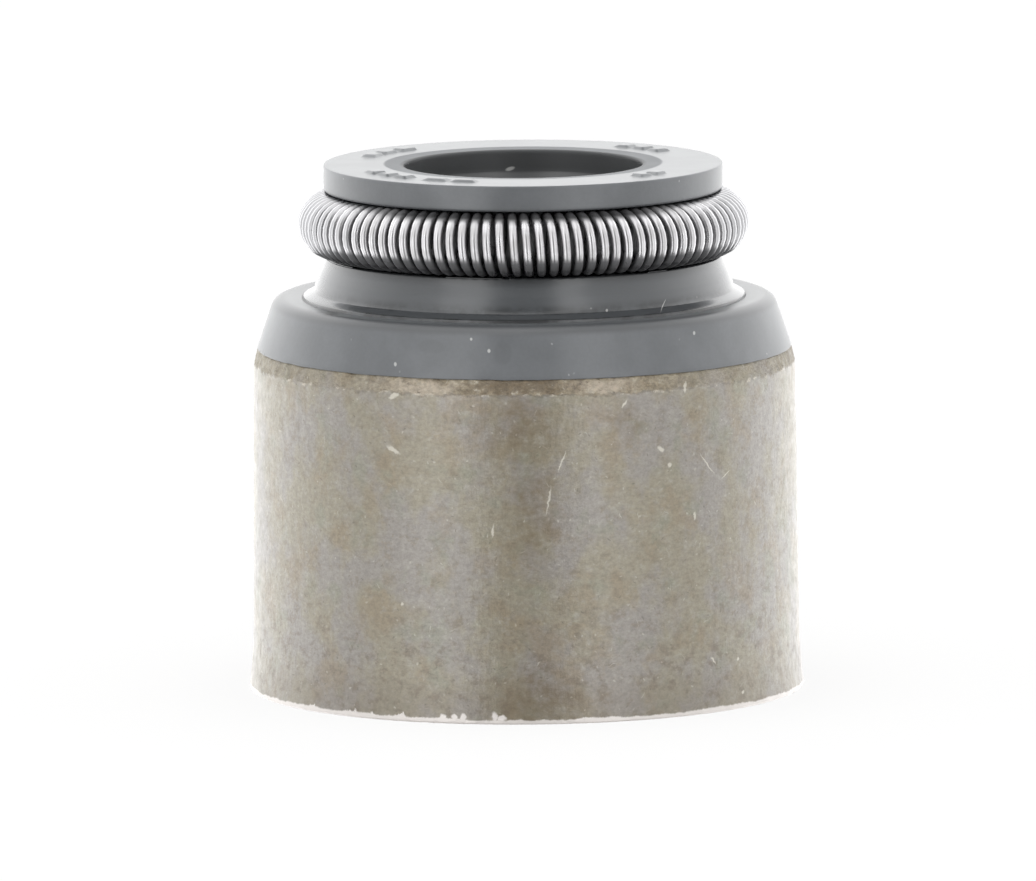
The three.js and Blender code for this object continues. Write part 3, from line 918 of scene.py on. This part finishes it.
def spring_wire():
    """Bright drawn spring wire with faint draw lines along it and a few dull stains. Painted shade dims its
    colour towards the ring's left and right ends. The sides that face the next turn and the inside of the
    coil are painted with shade, a grey that is not metal, and the underside and the strip under the head with
    darker painted shade, except at those two ends."""
    made, tree, shader, where, flat = material("bright_drawn_wire")
    axes = add(tree, "SeparateXYZ", {"Vector": where})
    radius = distance(tree, axes.outputs[0], axes.outputs[1])
    out = calc(tree, "SUBTRACT", radius, SPRING_RADIUS)
    up = calc(tree, "SUBTRACT", axes.outputs[2], SPRING_HEIGHT)
    depth = distance(tree, out, up)
    outermost = COIL_DIAMETER / 2
    # Painted shade: the sides that face the next turn and the inside of the coil, where shade falls, get a
    # dull grey that is not metal.
    outer_side = between(tree, depth, outermost - 0.19, outermost - 0.05)
    lines = noise(tree, flat, 20, 2, 0.6, (1, 0.04, 1))
    stains = noise(tree, where, 1.6, 3, 0.6)
    tone = blend(tree, between(tree, stains, 0.4, 0.65), WIRE, STAINED_WIRE)
    tone = blend(tree, 1.0, tone, shade(tree, lines, 0.97, 1.02), "MULTIPLY")
    sideways = calc(tree, "ABSOLUTE", axes.outputs[0])
    # Painted shade: the wire's colour, and so its reflection, is dimmed towards the ring's left and right
    # ends.
    tone = blend(tree, between(tree, sideways, 4.8, 6.6), tone, WIRE_END_SHADE)
    inwards = between(tree, sideways, 6.7, 5.7)
    # Painted shade on the coil's underside, darkest at the bottom, and painted shadow of the head's edge on
    # the strip under it, both away from the ring's left and right ends.
    low = times(tree, times(tree, between(tree, up, -0.34, -0.52), 0.85), inwards)
    lowest = times(tree, between(tree, up, -0.4, -0.8), inwards)
    head_shadow = between(tree, up, outermost - 0.3, outermost - 0.12)
    head_shadow = times(tree, head_shadow, between(tree, sideways, 5.4, 3.4))
    dark = times(tree, calc(tree, "MAXIMUM", lowest, head_shadow), 0.95)
    unshaded = calc(tree, "SUBTRACT", 1.0, calc(tree, "MAXIMUM", low, dark))
    unshaded = times(tree, unshaded, outer_side)
    painted_shade = blend(tree, low, WIRE_GAP_SHADE, WIRE_UNDERSIDE_SHADE)
    painted_shade = blend(tree, dark, painted_shade, WIRE_DEEP_SHADE)
    # Where painted shade lies the wire is greyer and mostly not metal.
    tone = blend(tree, unshaded, painted_shade, tone)
    tree.links.new(between(tree, unshaded, 0.0, 0.8, 0.15, 1.0), shader.inputs["Metallic"])
    tree.links.new(tone, shader.inputs["Base Color"])
    tree.links.new(between(tree, stains, 0.35, 0.7, 0.27, 0.34), shader.inputs["Roughness"])
    bump = add(tree, "Bump", {"Height": lines, "Distance": 0.001 * MM, "Strength": 0.3})
    tree.links.new(bump.outputs[0], shader.inputs["Normal"])
    return made


# The three pieces

shell_grid, shell_uv = turned_grid(shell_section(), SHELL_STEPS_ROUND, shell_relief)
surface("drawn_shell", shell_grid, shell_uv, shell_steel(), "root", "steel_shell")

body_grid, body_uv = turned_grid(body_section(), BODY_STEPS_ROUND, body_relief)
surface("moulded_rubber", body_grid, body_uv, seal_rubber(), "root", "rubber_seal_body")

wire_grid, wire_uv = spring_points()
surface("coiled_spring", wire_grid, wire_uv, spring_wire(), "root", "garter_spring")


# Floor, light and camera: the camera in millimetres, the floor and the lamp in metres

CAMERA_DISTANCE = 583.8
CAMERA_ELEVATION = math.radians(7.62)
CAMERA_ROLL = math.radians(-0.43)
AIM = (-0.22, 0.0, 7.635)
LENS = 654.5
SENSOR = 36.0
CLIP_START = 0.01
CLIP_END = 10
FLOOR_REACH = 1.2
FLOOR_WHITE = 0.92
FLOOR_GLOW = 0.82
LAMP_PLACE = (-0.12, -0.12, 0.5)
LAMP_SIZE = 0.4
LAMP_POWER = 0.25

# Brightness of the surroundings, where 1 is white
SIDE_GLOW = 0.36
ROOF_GLOW = 1.1
TENT_SIDE = 0.95
TENT_BACK = 2.3
TENT_OPENING = 0.18
TENT_FLOOR = 0.1
PANEL_GLOW = 0.85

# Where the tent changes: turns from the front, panels by middle and half width in degrees, and how steeply
# a direction rises where the roof and the floor begin
WALL_TURN = (math.radians(65), math.radians(140))
OPENING_TURN = (math.radians(12), math.radians(25))
PANELS = ((-36, 14), (29, 9))
PANEL_FADE = 3
ROOF_RISE = (0.58, 0.88)
FLOOR_RISE = (-0.88, -0.62)


def white_floor():
    """A white floor that is as bright as the background where nothing stands on it, and keeps part of the
    shadow under the seal. Glossy rays go through it and see the tent."""
    made = bpy.data.materials.new("white_floor")
    made.use_nodes = True
    tree = made.node_tree
    tree.nodes.clear()
    lit = add(tree, "BsdfDiffuse", {"Color": (FLOOR_WHITE, FLOOR_WHITE, FLOOR_WHITE, 1)})
    glow = add(tree, "Emission", {"Color": (1, 1, 1, 1), "Strength": 1.0})
    clear = add(tree, "BsdfTransparent")
    ray = add(tree, "LightPath")
    share = times(tree, ray.outputs["Is Camera Ray"], FLOOR_GLOW)
    mixed = add(tree, "MixShader", {0: share, 1: lit.outputs[0], 2: glow.outputs[0]})
    bounced = calc(tree, "MAXIMUM", ray.outputs["Is Glossy Ray"], ray.outputs["Is Transmission Ray"])
    through = add(tree, "MixShader", {0: bounced, 1: mixed.outputs[0], 2: clear.outputs[0]})
    output = add(tree, "OutputMaterial")
    tree.links.new(through.outputs[0], output.inputs[0])
    sides = (-FLOOR_REACH, FLOOR_REACH)
    mesh = bpy.data.meshes.new("floor")
    mesh.from_pydata([(x, y, 0) for y in sides for x in sides], [], [(0, 1, 3, 2)])
    mesh.materials.append(made)
    floor = bpy.data.objects.new("floor", mesh)
    bpy.context.scene.collection.objects.link(floor)


def light_tent():
    """The surroundings. The camera sees plain white. Matt surfaces get a soft light, brighter from above.
    Glossy ones see a white tent: it is brightest behind the seal, dark where the camera looks in at the
    front, with a bright panel on each side of that opening, an even white roof and a dim floor."""
    world = bpy.data.worlds.new("light_tent")
    bpy.context.scene.world = world
    world.use_nodes = True
    tree = world.node_tree
    tree.nodes.clear()
    towards = add(tree, "TexCoord").outputs["Generated"]
    axes = add(tree, "SeparateXYZ", {"Vector": towards})
    behind = times(tree, axes.outputs[1], -1.0)
    turn = calc(tree, "ARCTAN2", axes.outputs[0], behind)
    away = calc(tree, "ABSOLUTE", turn)
    wall = between(tree, away, *WALL_TURN, TENT_SIDE, TENT_BACK)
    opening = between(tree, away, *OPENING_TURN, TENT_OPENING, 1.0)
    tent = times(tree, wall, opening)
    for middle, half in PANELS:
        off = calc(tree, "ABSOLUTE", calc(tree, "SUBTRACT", turn, math.radians(middle)))
        fade = math.radians(half + PANEL_FADE), math.radians(half - PANEL_FADE)
        panel = between(tree, off, *fade, 0, PANEL_GLOW)
        tent = calc(tree, "ADD", tent, panel)
    roof = between(tree, axes.outputs[2], *ROOF_RISE)
    tent = calc(tree, "ADD", times(tree, tent, calc(tree, "SUBTRACT", 1.0, roof)), roof)
    tent = times(tree, tent, between(tree, axes.outputs[2], *FLOOR_RISE, TENT_FLOOR, 1.0))
    upward = calc(tree, "MAXIMUM", axes.outputs[2], 0.0)
    soft = calc(tree, "ADD", times(tree, upward, ROOF_GLOW), SIDE_GLOW)
    matt = add(tree, "Background", {"Color": (1, 1, 1, 1), "Strength": soft})
    mirrored = add(tree, "Background", {"Color": (1, 1, 1, 1), "Strength": tent})
    seen = add(tree, "Background", {"Color": (1, 1, 1, 1), "Strength": 1.0})
    ray = add(tree, "LightPath")
    bounced = calc(tree, "MAXIMUM", ray.outputs["Is Glossy Ray"], ray.outputs["Is Transmission Ray"])
    inner = add(tree, "MixShader", {0: bounced, 1: matt.outputs[0], 2: mirrored.outputs[0]})
    outer = add(tree, "MixShader", {0: ray.outputs["Is Camera Ray"], 1: inner.outputs[0], 2: seen.outputs[0]})
    output = add(tree, "OutputWorld")
    tree.links.new(outer.outputs[0], output.inputs[0])


def soft_lamp(name, place, size, power):
    """A soft square lamp that faces the seal."""
    lamp = bpy.data.lights.new(name, "AREA")
    lamp.size = size
    lamp.energy = power
    holder = bpy.data.objects.new(name, lamp)
    bpy.context.scene.collection.objects.link(holder)
    holder.location = place
    holder.rotation_mode = "QUATERNION"
    facing = Vector((0, 0, HEAD_TOP / 2 * MM)) - Vector(place)
    holder.rotation_quaternion = facing.to_track_quat("-Z", "Y")


def camera():
    """Looks along +Y from above the front, turned a little about its own axis."""
    data = bpy.data.cameras.new("camera")
    data.sensor_width = SENSOR
    data.lens = LENS
    data.clip_start = CLIP_START
    data.clip_end = CLIP_END
    holder = bpy.data.objects.new("camera", data)
    bpy.context.scene.collection.objects.link(holder)
    back = Vector((0, -math.cos(CAMERA_ELEVATION), math.sin(CAMERA_ELEVATION)))
    look = (-back).to_track_quat("-Z", "Y").to_matrix().to_4x4()
    place = Matrix.Translation((Vector(AIM) + back * CAMERA_DISTANCE) * MM)
    holder.matrix_world = place @ look @ Matrix.Rotation(CAMERA_ROLL, 4, "Z")
    bpy.context.scene.camera = holder


white_floor()
light_tent()
soft_lamp("top_lamp", LAMP_PLACE, LAMP_SIZE, LAMP_POWER)
camera()
bpy.context.scene.view_settings.view_transform = "Standard"
